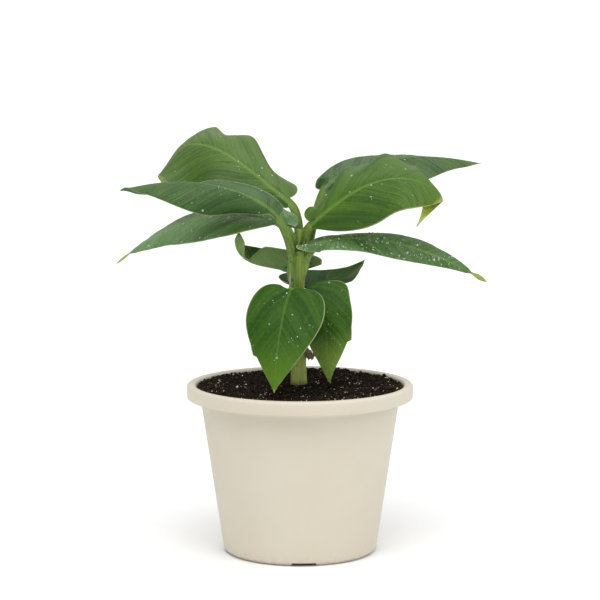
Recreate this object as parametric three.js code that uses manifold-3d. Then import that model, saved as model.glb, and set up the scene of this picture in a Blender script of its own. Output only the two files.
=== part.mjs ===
// A young banana plant in a round plastic pot: the pot, its filling of soil, the pseudostem of rolled
// leaf sheaths, and ten leaves, each one piece of stalk, midrib and blade.
// Millimetres, +Z up. The origin is the middle of the pot's underside. +X is to the right and -Y is
// toward the viewer. A leaf's azimuth turns from +X towards +Y, and left is to the left of its own way.
import * as THREE from "three";
import { mergeVertices } from "three/addons/utils/BufferGeometryUtils.js";
import Module from "manifold-3d";

const wasm = await Module();
wasm.setup();

const CLEARANCE = 0.3;

const POT = {
  rimRadius: 95,
  height: 142.2,
  rimBand: 11.6,
  mouthRadius: 87.1,
  neckRadius: 83.6,
  footRadius: 64,
  footBevel: 3.5,
  wall: 2.4,
  lip: 2.4,
  rounding: 2.6,
  sides: 48,
};
const NOTCH = { count: 4, width: 22, slope: 1.5, height: 2.9, depth: 9, azimuth: -87 };
const SOIL = { edge: 137, crown: 141, flat: 12, unevenness: 0.8 };
const STEM = {
  foot: [-1, 0],
  top: [-3, 0],
  height: 238,
  flare: 8.2,
  flareHeight: 12,
  footRadius: 6.7,
  topRadius: 6.4,
  ridges: 3,
  ridge: 0.05,
  sides: 24,
};
const LEAF_THICKNESS = 1.8;
const STALK_SWELL = 1.3;
const TIP_RIB = 0.5;
const LOBE_REACH = 0.4;
const GROOVE = 0.3;
const KEEL = 1.3;
const FLAT_WIDTH = 8;
const STALK_STEP = 8;
const BLADE_STEP = 10;
const MARCH_STEPS = 240;

const LIGHT_GREEN = 0x5f9038;
const DEEP_GREEN = 0x3f7036;
const NO_WAVE = [0, 0, 1, 0];

// Each leaf: root, where its centre line starts in the stem; stub, how much of the stalk grows as one
// with the stem; stalk and blade, the lengths; width, across the blade; rib, half the midrib's width
// at the blade's foot. The centre line climbs at rise, leaves the stalk at lift and ends at droop, and
// spring and arch say how late each bend comes. turn and swing are what the azimuth gains on stalk and
// blade. roll tips the blade about its midrib at foot and tip, fold bends its halves there, and curl
// bends each outwards, left then right. foot and taper round the outline's two ends, lobe is how far
// its foot reaches back, and wave is the margins' ripple: left, right, how many, and where it starts.
const LEAVES = {
  leaf_upper_left: {
    root: [1, 9, 230], azimuth: 146, turn: 23, swing: -49,
    stalk: 66, stub: 41, blade: 177, width: 73, rib: 3,
    rise: 89, spring: 5.3, lift: 38, droop: -130, arch: 2.66,
    roll: [-51, -39], fold: 0, curl: [-11, -60], foot: 0.68, taper: 0.52, lobe: 0.65,
    wave: [-8, 4.5, 2.15, 0.12], color: LIGHT_GREEN,
  },
  leaf_middle_left: {
    root: [-5.5, -7, 209], azimuth: 192, turn: -3, swing: -5,
    stalk: 76, stub: 42, blade: 138, width: 57, rib: 2.8,
    rise: 92, spring: 2.1, lift: 56, droop: -12, arch: 0.52,
    roll: [-63, 49], fold: -28, curl: [-78, 38], foot: 1.21, taper: 1.06, lobe: 1.2,
    wave: NO_WAVE, color: DEEP_GREEN,
  },
  leaf_lower_left: {
    root: [-6, 1, 228], azimuth: 168, turn: -10, swing: 2,
    stalk: 52, stub: 34, blade: 166, width: 58, rib: 2.8,
    rise: 97, spring: 3.3, lift: 23, droop: -39, arch: 0.66,
    roll: [-12, -35], fold: -5, curl: [-20, -5], foot: 1.15, taper: 1.8, lobe: 0.65,
    wave: NO_WAVE, color: DEEP_GREEN,
  },
  leaf_rear_right: {
    root: [-1, 2.5, 230], azimuth: 49, turn: -11, swing: -2,
    stalk: 80, stub: 54, blade: 181, width: 43, rib: 2.8,
    rise: 72, spring: 5.1, lift: 54, droop: -12, arch: 0.34,
    roll: [40, 9], fold: -22, curl: [0, -29], foot: 0.61, taper: 0.92, lobe: 1.2,
    wave: NO_WAVE, color: DEEP_GREEN,
  },
  leaf_upper_right: {
    root: [-1.5, 0, 228], azimuth: -30, turn: 14, swing: 14,
    stalk: 51, stub: 34, blade: 137, width: 82, rib: 3,
    rise: 89, spring: 3.1, lift: 40, droop: -130, arch: 2.88,
    roll: [78, 32], fold: 14, curl: [-103, -23], foot: 0.77, taper: 0.64, lobe: 0.05,
    wave: [7.3, 0, 3.52, 0.2], color: LIGHT_GREEN,
  },
  leaf_lower_right: {
    root: [1, -4.5, 228], azimuth: -35, turn: 33, swing: 2,
    stalk: 36, stub: 22, blade: 150, width: 29, rib: 2.8,
    rise: 81, spring: 3, lift: 32, droop: -32, arch: 0.44,
    roll: [27, 101], fold: -5, curl: [-57, 7], foot: 1.04, taper: 1.66, lobe: 3.05,
    wave: NO_WAVE, color: DEEP_GREEN,
  },
  leaf_back_left: {
    root: [-2.5, 7, 230], azimuth: 76, turn: 99, swing: 69,
    stalk: 21, stub: 12, blade: 63, width: 38, rib: 1.8,
    rise: 32, spring: 0.8, lift: 9, droop: 139, arch: 3.1,
    roll: [50, 30], fold: 53, curl: [-60, 77], foot: 0.3, taper: 0.72, lobe: 3.1,
    wave: NO_WAVE, color: DEEP_GREEN,
  },
  leaf_back_right: {
    root: [-1, 5, 211], azimuth: 88, turn: -20, swing: -35,
    stalk: 18, stub: 12, blade: 90, width: 57, rib: 1.8,
    rise: 66, spring: 2, lift: 0, droop: 41, arch: 3.4,
    roll: [14, 12], fold: 0, curl: [0, 31], foot: 0.5, taper: 1.05, lobe: 0.94,
    wave: NO_WAVE, color: DEEP_GREEN,
  },
  leaf_front: {
    root: [-0.5, -6.5, 212], azimuth: -114, turn: 10, swing: -2,
    stalk: 29, stub: 12, blade: 98, width: 67, rib: 2.2,
    rise: 66, spring: 1.5, lift: -22, droop: -80, arch: 0.72,
    roll: [-6, 22], fold: 2, curl: [-27, -14], foot: 0.53, taper: 1.16, lobe: 0.75,
    wave: NO_WAVE, color: DEEP_GREEN,
  },
  leaf_front_right: {
    root: [2, -6, 194], azimuth: -28, turn: -6, swing: -75,
    stalk: 38, stub: 22, blade: 96, width: 50, rib: 2.2,
    rise: 86, spring: 5.6, lift: 16, droop: -112, arch: 0.32,
    roll: [52, 34], fold: 4, curl: [-26, -23], foot: 0.51, taper: 1.28, lobe: 0,
    wave: NO_WAVE, color: DEEP_GREEN,
  },
};

const GREEN = { roughness: 0.45, metalness: 0 };

const { lerp, degToRad, clamp } = THREE.MathUtils;

function material(color, finish) {
  return new THREE.MeshStandardMaterial({ color, ...finish });
}

function piece(name, geometry, look) {
  const mesh = new THREE.Mesh(geometry, look);
  mesh.name = name;
  return mesh;
}

function solidOf(geometry) {
  const bare = geometry.index ? geometry.toNonIndexed() : geometry.clone();
  bare.deleteAttribute("normal");
  bare.deleteAttribute("uv");
  const merged = mergeVertices(bare, 1e-4);
  return new wasm.Manifold(
    new wasm.Mesh({
      numProp: 3,
      vertProperties: merged.attributes.position.array,
      triVerts: new Uint32Array(merged.index.array),
    }),
  );
}

function geometryOf(solid) {
  const { numProp, vertProperties, triVerts } = solid.getMesh();
  const places = [];
  for (let i = 0; i < vertProperties.length; i += numProp) {
    places.push(...vertProperties.subarray(i, i + 3));
  }
  const geometry = new THREE.BufferGeometry();
  geometry.setAttribute("position", new THREE.Float32BufferAttribute(places, 3));
  geometry.setIndex([...triVerts]);
  geometry.computeVertexNormals();
  return geometry;
}

// A profile of [radius, height] corners, turned about +Z.
function turned(profile) {
  const corners = profile.map(([radius, height]) => new THREE.Vector2(radius, height));
  return new THREE.LatheGeometry(corners, POT.sides).rotateX(Math.PI / 2);
}

// Rings of equal count, joined one to the next and closed by a flat cap at each end.
function lofted(rings) {
  const places = rings.flat().flatMap((point) => point.toArray());
  const count = rings[0].length;
  const faces = [];
  for (let i = 0; i + 1 < rings.length; i++) {
    for (let j = 0; j < count; j++) {
      const here = i * count + j;
      const beside = i * count + ((j + 1) % count);
      faces.push(here, beside, beside + count, here, beside + count, here + count);
    }
  }
  const last = (rings.length - 1) * count;
  for (let j = 0; j + 1 < count / 2; j++) {
    const under = count - 1 - j;
    faces.push(j, under, under - 1, j, under - 1, j + 1);
    faces.push(last + j, last + under - 1, last + under, last + j, last + j + 1, last + under - 1);
  }
  const geometry = new THREE.BufferGeometry();
  geometry.setAttribute("position", new THREE.Float32BufferAttribute(places, 3));
  geometry.setIndex(faces);
  geometry.computeVertexNormals();
  return geometry;
}

// The pot's outer radius at a height on its tapered wall.
function wallRadius(height) {
  return lerp(POT.footRadius, POT.neckRadius, height / (POT.height - POT.rimBand));
}

// The wall spreads into a shoulder under a rim that rolls over and hangs down round it.
function potGeometry() {
  const { rimRadius, height, rimBand, mouthRadius, footRadius, footBevel, wall, lip, rounding } = POT;
  const skirt = height - rimBand;
  const shoulder = mouthRadius + lip / 2;
  const profile = [
    [0, 0],
    [footRadius - footBevel, 0],
    [wallRadius(footBevel), footBevel],
    [wallRadius(skirt - 3), skirt - 3],
    [shoulder, skirt + 3],
    [shoulder, height - 2 * lip],
    [rimRadius - lip, height - 2 * lip],
    [rimRadius - lip, skirt + 0.8],
    [rimRadius - lip / 2, skirt],
    [rimRadius - 0.3, skirt + 1],
    [rimRadius, height - 1.6 * rounding],
    [rimRadius - 0.3 * rounding, height - 0.5 * rounding],
    [rimRadius - rounding, height],
    [mouthRadius + rounding, height],
    [mouthRadius + 0.5 * rounding, height - 0.2 * rounding],
    [mouthRadius, height - rounding],
    [mouthRadius - 0.6, skirt + 4],
    [wallRadius(skirt - 3) - wall, skirt - 2],
    [wallRadius(2 * wall) - wall, 2 * wall],
    [footRadius - footBevel, wall],
    [0, wall],
  ];
  let pot = solidOf(turned(profile));
  for (let i = 0; i < NOTCH.count; i++) {
    pot = pot.subtract(notch(NOTCH.azimuth + (360 / NOTCH.count) * i));
  }
  return geometryOf(pot);
}

// A drain notch: a tapered block that cuts the foot's edge open.
function notch(azimuth) {
  const { width, slope, height, depth } = NOTCH;
  const outline = new THREE.Shape([
    new THREE.Vector2(-width / 2, -height),
    new THREE.Vector2(width / 2, -height),
    new THREE.Vector2(width / 2, 0),
    new THREE.Vector2(width / 2 - slope, height),
    new THREE.Vector2(slope - width / 2, height),
    new THREE.Vector2(-width / 2, 0),
  ]);
  const block = new THREE.ExtrudeGeometry(outline, { depth: 2 * depth, bevelEnabled: false });
  const out = new THREE.Vector3(Math.cos(degToRad(azimuth)), Math.sin(degToRad(azimuth)), 0);
  const up = new THREE.Vector3(0, 0, 1);
  const across = new THREE.Vector3().crossVectors(up, out);
  block.applyMatrix4(new THREE.Matrix4().makeBasis(across, up, out));
  const start = out.multiplyScalar(POT.footRadius - POT.footBevel - depth);
  return solidOf(block.translate(start.x, start.y, 0));
}

// The soil fills the pot to its mouth, with a low uneven mound that is flat where the stem stands.
function soilGeometry() {
  const { edge, crown, flat, unevenness } = SOIL;
  const skirt = POT.height - POT.rimBand;
  const inside = POT.wall + CLEARANCE;
  const rim = POT.mouthRadius - 0.6 - CLEARANCE;
  const rings = [0.25, 0.45, 0.63, 0.8, 0.92].map((share) => {
    const radius = lerp(flat, rim, share);
    return [radius, lerp(crown, edge, share ** 1.5)];
  });
  const profile = [
    [0, inside],
    [POT.footRadius - POT.footBevel - CLEARANCE, inside],
    [wallRadius(2 * POT.wall) - inside, 2 * POT.wall + 0.2],
    [wallRadius(skirt - 3) - inside, skirt - 2 + 0.1],
    [rim, skirt + 4 + 0.2],
    [rim, edge],
    ...rings.reverse(),
    [flat, crown],
    [0, crown],
  ];
  const geometry = turned(profile);
  const place = geometry.attributes.position;
  for (let i = 0; i < place.count; i++) {
    const [x, y, z] = [place.getX(i), place.getY(i), place.getZ(i)];
    const radius = Math.hypot(x, y);
    const loose = z > edge - 0.01 && radius > flat + 1 && radius < rim - 1;
    const lump = Math.sin(x / 9 + 1) * Math.sin(y / 11 + 2) + 0.6 * Math.sin(x / 5) * Math.cos(y / 4);
    place.setZ(i, z + (loose ? unevenness * lump : 0));
  }
  return geometry;
}

// The way the centre line points, a distance along it, as [azimuth, elevation].
function heading(leaf, along) {
  const { azimuth, turn, swing, rise, lift, droop, arch, spring, stalk, blade } = leaf;
  if (along < stalk) {
    const share = along / stalk;
    return [azimuth + turn * share, lerp(rise, lift, share ** spring)];
  }
  const share = (along - stalk) / blade;
  return [azimuth + turn + swing * share, lerp(lift, droop, share ** arch)];
}

// The three directions at a place on the centre line: forwards, to the left and up out of the leaf.
function axesAt(leaf, along) {
  const [azimuth, elevation] = heading(leaf, along).map(degToRad);
  const level = new THREE.Vector3(Math.cos(azimuth), Math.sin(azimuth), 0);
  const sky = new THREE.Vector3(0, 0, 1);
  const left = new THREE.Vector3().crossVectors(sky, level);
  const forward = level.multiplyScalar(Math.cos(elevation)).addScaledVector(sky, Math.sin(elevation));
  const stalkShare = Math.min(1, along / leaf.stalk);
  const bladeShare = Math.max(0, (along - leaf.stalk) / leaf.blade);
  const roll = degToRad(lerp(leaf.roll[0], leaf.roll[1], bladeShare) * stalkShare);
  left.applyAxisAngle(forward, roll);
  return { forward, left, up: new THREE.Vector3().crossVectors(forward, left) };
}

function centreLine(leaf) {
  const step = (leaf.stalk + leaf.blade) / MARCH_STEPS;
  const points = [new THREE.Vector3(...leaf.root)];
  for (let i = 0; i < MARCH_STEPS; i++) {
    points.push(points[i].clone().addScaledVector(axesAt(leaf, (i + 0.5) * step).forward, step));
  }
  return (along) => {
    const i = clamp(Math.floor(along / step), 0, MARCH_STEPS - 1);
    return points[i].clone().lerp(points[i + 1], along / step - i);
  };
}

// Half the blade's width, a share of the way from its foot to its tip.
function halfWidth({ width, foot, taper }, share) {
  const peak = (foot / (foot + taper)) ** foot * (taper / (foot + taper)) ** taper;
  return ((width / 2) * share ** foot * (1 - share) ** taper) / peak;
}

// Where a point of the blade lies from the midrib, on one side of it (1 is left) and a reach away from it:
// out to that side, up, and back towards the stalk, with the tilt of the blade there.
function bladePoint(leaf, share, half, spread, side, reach) {
  const { fold, curl, wave, lobe } = leaf;
  const [margin, wavePhase] = side > 0 ? [0, 0] : [1, 0.37];
  const part = reach / half;
  const bend = degToRad(curl[margin]) * part * spread;
  const start = degToRad(fold) * spread;
  const chord = reach * (bend ? Math.sin(bend / 2) / (bend / 2) : 1);
  const turns = wave[2] * share + wave[3] + wavePhase;
  const ripple = wave[margin] * Math.sin(2 * Math.PI * turns) * Math.sin(Math.PI * share) ** 0.7 * part ** 2;
  const nearFoot = Math.max(0, 1 - share / LOBE_REACH) ** 2;
  return {
    out: chord * Math.cos(start + bend / 2),
    up: chord * Math.sin(start + bend / 2) + ripple,
    back: half * lobe * nearFoot * part ** 1.5 * spread,
    tilt: (start + bend) * spread,
  };
}

// One cross-section: over the top from the left margin to the right, then back along the underside.
function section(leaf, centre, along) {
  const { rib, stalk, blade } = leaf;
  const share = clamp((along - stalk) / blade, 0, 1);
  const stalkRib = rib * lerp(STALK_SWELL, 1, Math.min(1, along / stalk));
  const ribHalf = along < stalk ? stalkRib : lerp(rib, TIP_RIB, share ** 0.8);
  const narrowest = 1.1 * ribHalf;
  const half = Math.max(narrowest, along > stalk ? halfWidth(leaf, share) : 0);
  const spread = clamp((half - narrowest) / FLAT_WIDTH, 0, 1);
  const groove = GROOVE * ribHalf * (1 - share);
  const keel = KEEL * ribHalf * (1 - 0.75 * share);
  const { forward, left, up } = axesAt(leaf, along);
  const origin = centre(along);
  const tops = [];
  const unders = [];
  const place = (side, reach) => {
    const { out, up: lift, back, tilt } = bladePoint(leaf, share, half, spread, side, reach);
    const inRib = Math.max(0, 1 - (reach / ribHalf) ** 2);
    const top = origin.clone();
    top.addScaledVector(left, side * out);
    top.addScaledVector(up, lift);
    top.addScaledVector(forward, -back);
    const lean = reach > ribHalf ? tilt : 0;
    const normal = up.clone().multiplyScalar(Math.cos(lean)).addScaledVector(left, -side * Math.sin(lean));
    unders.unshift(top.clone().addScaledVector(normal, -LEAF_THICKNESS - keel * Math.sqrt(inRib)));
    tops.push(top.addScaledVector(up, -groove * inRib));
  };
  const reaches = [1, 2 / 3, 1 / 3].map((part) => lerp(ribHalf, half, part));
  reaches.push(0.9 * ribHalf, 0.5 * ribHalf);
  reaches.forEach((reach) => place(1, reach));
  place(1, 0);
  reaches.reverse().forEach((reach) => place(-1, reach));
  return tops.concat(unders);
}

// The leaf beyond its stub: a few sections along the stalk, then the blade's, closer at its foot.
function leafGeometry(leaf) {
  const centre = centreLine(leaf);
  const start = leaf.stub + CLEARANCE;
  const stalkRows = Math.max(2, Math.round((leaf.stalk - start) / STALK_STEP));
  const bladeRows = Math.round(leaf.blade / BLADE_STEP);
  const stops = [];
  for (let i = 0; i < stalkRows; i++) {
    stops.push(lerp(start, leaf.stalk, i / stalkRows));
  }
  for (let i = 0; i <= bladeRows; i++) {
    stops.push(leaf.stalk + leaf.blade * (i / bladeRows) ** 1.4);
  }
  return lofted(stops.map((along) => section(leaf, centre, along)));
}

// A stalk's first stretch, from inside the stem to where the leaf's own piece takes over.
function stubGeometry(leaf) {
  const centre = centreLine(leaf);
  const rows = Math.max(2, Math.round(leaf.stub / STALK_STEP));
  const stops = Array.from({ length: rows + 1 }, (_, i) => (leaf.stub * i) / rows);
  return lofted(stops.map((along) => section(leaf, centre, along)));
}

// The stem's rolled sheaths: a leaning taper with a flared foot and shallow ridges where sheaths overlap.
function stemColumn() {
  const { foot, top, height, flare, flareHeight, footRadius, topRadius, ridges, ridge, sides } = STEM;
  const base = SOIL.crown + CLEARANCE;
  const stops = [0, 0.03, 0.07, 0.13, 0.35, 0.6, 0.85, 0.97, 1];
  return lofted(
    stops.map((share) => {
      const z = lerp(base, height, share);
      const spread = Math.max(0, 1 - (z - base) / flareHeight) ** 2;
      const crown = share > 0.9 ? 1 - 0.5 * ((share - 0.9) / 0.1) ** 2 : 1;
      const radius = (lerp(footRadius, topRadius, share) + (flare - footRadius) * spread) * crown;
      return Array.from({ length: sides }, (_, i) => {
        const angle = (2 * Math.PI * (i + 0.5)) / sides;
        const reach = radius * (1 + ridge * Math.cos(ridges * angle));
        return new THREE.Vector3(
          lerp(foot[0], top[0], share) + reach * Math.cos(angle),
          lerp(foot[1], top[1], share) + reach * Math.sin(angle),
          z,
        );
      });
    }),
  );
}

function stemGeometry() {
  const stubs = Object.values(LEAVES).map((leaf) => solidOf(stubGeometry(leaf)));
  return geometryOf(stubs.reduce((stem, stub) => stem.add(stub), solidOf(stemColumn())));
}

const plant = new THREE.Group();
plant.add(piece("pot", potGeometry(), material(0xdcd5c4, { roughness: 0.5, metalness: 0 })));
plant.add(piece("soil", soilGeometry(), material(0x2a2019, { roughness: 0.95, metalness: 0 })));
plant.add(piece("pseudostem", stemGeometry(), material(0x86a04e, GREEN)));
for (const [name, leaf] of Object.entries(LEAVES)) {
  plant.add(piece(name, leafGeometry(leaf), material(leaf.color, GREEN)));
}

export default plant;
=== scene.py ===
"""A young banana plant in a round cream plastic pot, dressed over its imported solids.

Shapes are worked out in millimetres, in the frame of the solids: +Z up, -Y towards the viewer, +X to the
viewer's right, the origin in the middle of the pot's underside. They are put into meshes in metres.
"""

import math

import bpy
import numpy as np
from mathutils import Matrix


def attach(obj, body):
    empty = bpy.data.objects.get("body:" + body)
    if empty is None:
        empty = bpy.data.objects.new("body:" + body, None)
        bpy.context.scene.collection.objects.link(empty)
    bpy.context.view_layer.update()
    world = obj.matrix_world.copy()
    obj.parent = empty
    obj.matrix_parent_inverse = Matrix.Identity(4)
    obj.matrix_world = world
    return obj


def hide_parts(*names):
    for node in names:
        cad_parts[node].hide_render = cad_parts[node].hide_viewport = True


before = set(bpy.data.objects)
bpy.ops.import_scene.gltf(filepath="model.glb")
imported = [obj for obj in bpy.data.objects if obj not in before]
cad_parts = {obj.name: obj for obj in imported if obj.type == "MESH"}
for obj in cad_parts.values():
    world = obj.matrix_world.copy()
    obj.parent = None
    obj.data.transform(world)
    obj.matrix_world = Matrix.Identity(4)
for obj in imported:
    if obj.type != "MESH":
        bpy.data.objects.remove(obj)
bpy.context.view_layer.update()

MM = 0.001

# The leaves' named values, as in the part's source, in mm and degrees: root, where the centre line starts in
# the stem; stalk and blade, the lengths; stub, how much of the stalk grows as one with the stem; width,
# across the blade; rib, half the midrib's width at the blade's foot. The centre line climbs at rise, leaves
# the stalk at lift and ends at droop, and spring and arch say how late each bend comes. turn and swing are
# what the azimuth gains on stalk and blade. roll tips the blade about its midrib at foot and tip, fold bends
# its halves there, and curl bends each outwards, left then right. foot and taper round the outline's two
# ends, lobe is how far its foot reaches back, and wave is the margins' ripple: left, right, how many, and
# where it starts.
LEAVES = {
    "leaf_upper_left": dict(
        root=(1, 9, 230), azimuth=146, turn=23, swing=-49, stalk=66, stub=41, blade=177,
        width=73, rib=3, rise=89, spring=5.3, lift=38, droop=-130, arch=2.66, roll=(-51, -39),
        fold=0, curl=(-11, -60), foot=0.68, taper=0.52, lobe=0.65, wave=(-8, 4.5, 2.15, 0.12),
    ),
    "leaf_middle_left": dict(
        root=(-5.5, -7, 209), azimuth=192, turn=-3, swing=-5, stalk=76, stub=42, blade=138,
        width=57, rib=2.8, rise=92, spring=2.1, lift=56, droop=-12, arch=0.52, roll=(-63, 49),
        fold=-28, curl=(-78, 38), foot=1.21, taper=1.06, lobe=1.2, wave=(0, 0, 1, 0),
    ),
    "leaf_lower_left": dict(
        root=(-6, 1, 228), azimuth=168, turn=-10, swing=2, stalk=52, stub=34, blade=166,
        width=58, rib=2.8, rise=97, spring=3.3, lift=23, droop=-39, arch=0.66, roll=(-12, -35),
        fold=-5, curl=(-20, -5), foot=1.15, taper=1.8, lobe=0.65, wave=(0, 0, 1, 0),
    ),
    "leaf_rear_right": dict(
        root=(-1, 2.5, 230), azimuth=49, turn=-11, swing=-2, stalk=80, stub=54, blade=181,
        width=43, rib=2.8, rise=72, spring=5.1, lift=54, droop=-12, arch=0.34, roll=(40, 9),
        fold=-22, curl=(0, -29), foot=0.61, taper=0.92, lobe=1.2, wave=(0, 0, 1, 0),
    ),
    "leaf_upper_right": dict(
        root=(-1.5, 0, 228), azimuth=-30, turn=14, swing=14, stalk=51, stub=34, blade=137,
        width=82, rib=3, rise=89, spring=3.1, lift=40, droop=-130, arch=2.88, roll=(78, 32),
        fold=14, curl=(-103, -23), foot=0.77, taper=0.64, lobe=0.05, wave=(7.3, 0, 3.52, 0.2),
    ),
    "leaf_lower_right": dict(
        root=(1, -4.5, 228), azimuth=-35, turn=33, swing=2, stalk=36, stub=22, blade=150,
        width=29, rib=2.8, rise=81, spring=3, lift=32, droop=-32, arch=0.44, roll=(27, 101),
        fold=-5, curl=(-57, 7), foot=1.04, taper=1.66, lobe=3.05, wave=(0, 0, 1, 0),
    ),
    "leaf_back_left": dict(
        root=(-2.5, 7, 230), azimuth=76, turn=99, swing=69, stalk=21, stub=12, blade=63,
        width=38, rib=1.8, rise=32, spring=0.8, lift=9, droop=139, arch=3.1, roll=(50, 30),
        fold=53, curl=(-60, 77), foot=0.3, taper=0.72, lobe=3.1, wave=(0, 0, 1, 0),
    ),
    "leaf_back_right": dict(
        root=(-1, 5, 211), azimuth=88, turn=-20, swing=-35, stalk=18, stub=12, blade=90,
        width=57, rib=1.8, rise=66, spring=2, lift=0, droop=41, arch=3.4, roll=(14, 12), fold=0,
        curl=(0, 31), foot=0.5, taper=1.05, lobe=0.94, wave=(0, 0, 1, 0),
    ),
    "leaf_front": dict(
        root=(-0.5, -6.5, 212), azimuth=-114, turn=10, swing=-2, stalk=29, stub=12, blade=98,
        width=67, rib=2.2, rise=66, spring=1.5, lift=-22, droop=-80, arch=0.72, roll=(-6, 22),
        fold=2, curl=(-27, -14), foot=0.53, taper=1.16, lobe=0.75, wave=(0, 0, 1, 0),
    ),
    "leaf_front_right": dict(
        root=(2, -6, 194), azimuth=-28, turn=-6, swing=-75, stalk=38, stub=22, blade=96,
        width=50, rib=2.2, rise=86, spring=5.6, lift=16, droop=-112, arch=0.32, roll=(52, 34),
        fold=4, curl=(-26, -23), foot=0.51, taper=1.28, lobe=0, wave=(0, 0, 1, 0),
    ),
}
# How much wider a stalk is at its root than at its blade, and the midrib's half width at the tip in mm.
STALK_SWELL = 1.3
TIP_RIB = 0.5
# The share of a blade over which its foot reaches back along the stalk.
LOBE_REACH = 0.4
# Depth of the groove on a midrib and of the keel under it, against its half width.
GROOVE = 0.3
KEEL = 1.3
# How far a blade reaches past its midrib, in mm, where it bends and folds in full.
FLAT_WIDTH = 8
# How far a side vein runs along the leaf for each mm that it runs out.
VEIN_SLANT = 1.25
# The least half width of a leaf, against that of its midrib.
SLIM = 1.1
# How far a leaf reaches back into its stub, and how far apart a blade's cross-sections are, in mm.
OVERLAP = 6
ROW_GAP = 1.1
# Thickness in mm: of a stalk, of a blade beside its midrib and at its margin, and the least of a slim leaf.
STALK_THICK = 1.8
BLADE_THICK = (0.75, 0.4)
LEAST_THICK = 0.35
# The points of a cross-section from the middle out, as shares of the midrib and then of the blade beside it.
RIB_STEPS = np.array([0, 0.25, 0.5, 0.75, 0.92])
BLADE_STEPS = np.linspace(0, 1, 20) ** 0.9

# Where a margin is torn: share of the blade, depth of the tear in mm, and side (1 is left). The margin steps
# out to that depth over this length before the tear, as a share of the blade.
TEAR_LENGTH = 0.11
TEARS = {
    "leaf_front": [(0.69, 3, -1)],
    "leaf_front_right": [(0.58, 3.2, 1)],
}
# Leaves whose tip is still rolled into a pale spear: share where it starts, and half its width in mm.
SPEARS = {"leaf_lower_left": (0.9, 2.3), "leaf_lower_right": (0.9, 2.1)}
# How many droplets of water lie on each leaf.
DROPS = {
    "leaf_lower_left": 170,
    "leaf_lower_right": 190,
    "leaf_front": 44,
    "leaf_middle_left": 40,
    "leaf_upper_left": 30,
    "leaf_upper_right": 34,
    "leaf_front_right": 22,
    "leaf_rear_right": 26,
    "leaf_back_left": 4,
    "leaf_back_right": 4,
}
# The leaves of the lighter green.
LIGHT_LEAVES = ("leaf_upper_left", "leaf_upper_right")
# Rounded ears at a blade's foot, per side (1 is left): the share where the blade starts, how far the ear
# reaches out, sweeps back along the stalk and rises in mm, then the shares over which it turns round and
# joins the outline.
EARS = {
    "leaf_upper_left": {-1: (0.045, 18, 7, 0, 0.05, 0.16), 1: (0, 6, 2, 0, 0.03, 0.12)},
    "leaf_middle_left": {-1: (0.03, 12, 4, 0, 0.04, 0.26), 1: (0.06, 3.5, 0, 0, 0.03, 0.2)},
    "leaf_lower_left": {-1: (0, 12, 10, 0, 0.03, 0.22), 1: (0, 6, 5, 0, 0.03, 0.15)},
    "leaf_rear_right": {1: (0.03, 13, 4, -9, 0.05, 0.12), -1: (0, 8, 3, 0, 0.03, 0.14)},
    "leaf_upper_right": {1: (0.05, 16.5, 7, 0, 0.05, 0.18), -1: (0, 5, 1, 0, 0.02, 0.12)},
    "leaf_lower_right": {-1: (0.02, 10, 19, 6, 0.05, 0.25), 1: (0, 7, 8, 0, 0.03, 0.2)},
}
# A half that folds by more degrees than the rest: side, at the foot, at the tip, and the shares in between.
FOLDS = {
    "leaf_lower_right": (-1, -30, 0, 0.1, 0.32),
    "leaf_middle_left": (-1, 28, 0, 0.1, 0.3),
    "leaf_lower_left": (-1, 55, 0, 0.06, 0.25),
}
# A half that curls under near the tip: side, more degrees of curl, and the shares in between.
CURLS = {"leaf_upper_right": (1, -230, 0.74, 0.96)}
# A folded point in a margin: side, share of the blade, length in mm, and how many mm it leans to the tip.
HOOKS = {"leaf_upper_right": (1, 0.95, 25, 6)}
# Humps in a margin, per side: share of the blade, and length, reach outwards and rise in mm.
HUMPS = {
    "leaf_front_right": {1: [(0.03, 14, -5, 0), (0.14, 16, 6, 0)], -1: [(0.78, 34, 6, 0)]},
    "leaf_back_left": {-1: [(0.94, 8, -4, 0)]},
    "leaf_middle_left": {1: [(0.5, 90, 5, 0)], -1: [(0.42, 40, -3, 0), (0.88, 30, -2.5, 0)]},
    "leaf_rear_right": {-1: [(0.57, 50, 9, 0)]},
    "leaf_upper_left": {
        1: [(0.62, 40, 8, 0)],
        -1: [(0.69, 24, 16, 0), (0.52, 16, -3, 0), (0.39, 24, 6, 0), (0.22, 24, -2, 0)],
    },
    "leaf_upper_right": {
        1: [
            (0.16, 22, -5, 0), (0.195, 9, 3, 0), (0.36, 20, 12, 0), (0.585, 27, 11, 0),
            (0.75, 18, 6, 0), (0.95, 25, 45, -7),
        ],
        -1: [(0.6, 50, -3, 0), (0.91, 36, 6, 0)],
    },
}
# A half that ends in a round lobe before the tip: side, the shares where the lobe rounds off and where it
# ends, and the share where the half is whole again.
GAPS = {"leaf_back_left": (1, 0.36, 0.52, 0.97)}
# A midrib that ends at another slope: degrees at the tip, and how late it bends.
SLOPES = {
    "leaf_upper_right": (-60, 2.3),
    "leaf_front_right": (-101, 0.32),
    "leaf_middle_left": (-16, 0.58),
    "leaf_rear_right": (-12.7, 0.34),
}
# Blades drawn a little longer or shorter, in mm.
LONGER = {"leaf_upper_right": -8.5, "leaf_middle_left": 1.5, "leaf_front_right": -5}
# How far a stalk is moved in mm so that the sheaths close round the stem, and after how many stalk lengths
# the shift has faded.
SHIFTS = {
    "leaf_rear_right": (1.5, 0, 0, 1.6),
    "leaf_front_right": (-6, 0.6, -7, 5),
    "leaf_middle_left": (2.2, 0, 0, 1),
    "leaf_lower_right": (-2.3, 0, 0, 1),
}
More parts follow.
